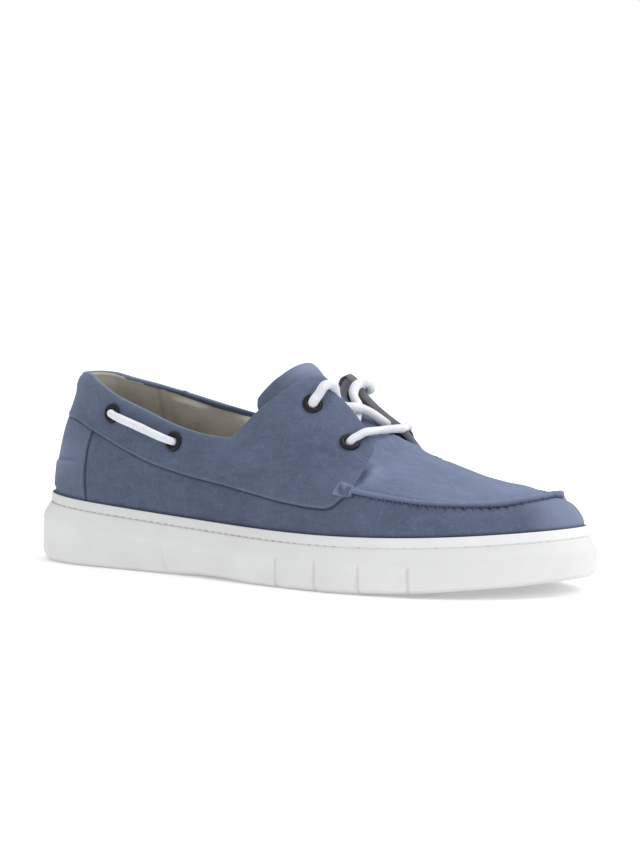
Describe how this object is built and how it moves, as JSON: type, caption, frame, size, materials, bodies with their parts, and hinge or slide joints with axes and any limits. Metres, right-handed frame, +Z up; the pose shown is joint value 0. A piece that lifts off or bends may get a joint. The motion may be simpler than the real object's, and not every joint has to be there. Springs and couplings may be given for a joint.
{
  "type": "laced moc-toe boat shoe",
  "caption": "Low laced deck shoe with a moccasin toe: hollow suede upper on a thick cupsole, side lace runs, empty and standing on its sole.",
  "frame": {"origin": "on the floor under the middle of the shoe's bounding box", "axes": "+X towards the toe, +Y towards the inner (medial) side, +Z up"},
  "size_m": [0.302, 0.1105, 0.0983],
  "materials": {
    "suede": "blue-grey suede",
    "rubber": "satin off-white",
    "lining": "beige-grey lining leather",
    "metal": "black enamel",
    "lace": "white braided cord"
  },
  "bodies": {
    "root": {"upper": "suede", "tongue": "suede", "outsole": "rubber", "insole": "lining", "eyelet_side_front_inner": "metal", "eyelet_side_front_outer": "metal", "eyelet_side_rear_inner": "metal", "eyelet_side_rear_outer": "metal", "eyelet_throat_lower_inner": "metal", "eyelet_throat_lower_outer": "metal", "eyelet_throat_upper_inner": "metal", "eyelet_throat_upper_outer": "metal", "lace_bar": "lace", "lace_crossing": "lace", "lace_side_inner": "lace", "lace_side_outer": "lace"}
  },
  "joints": []
}
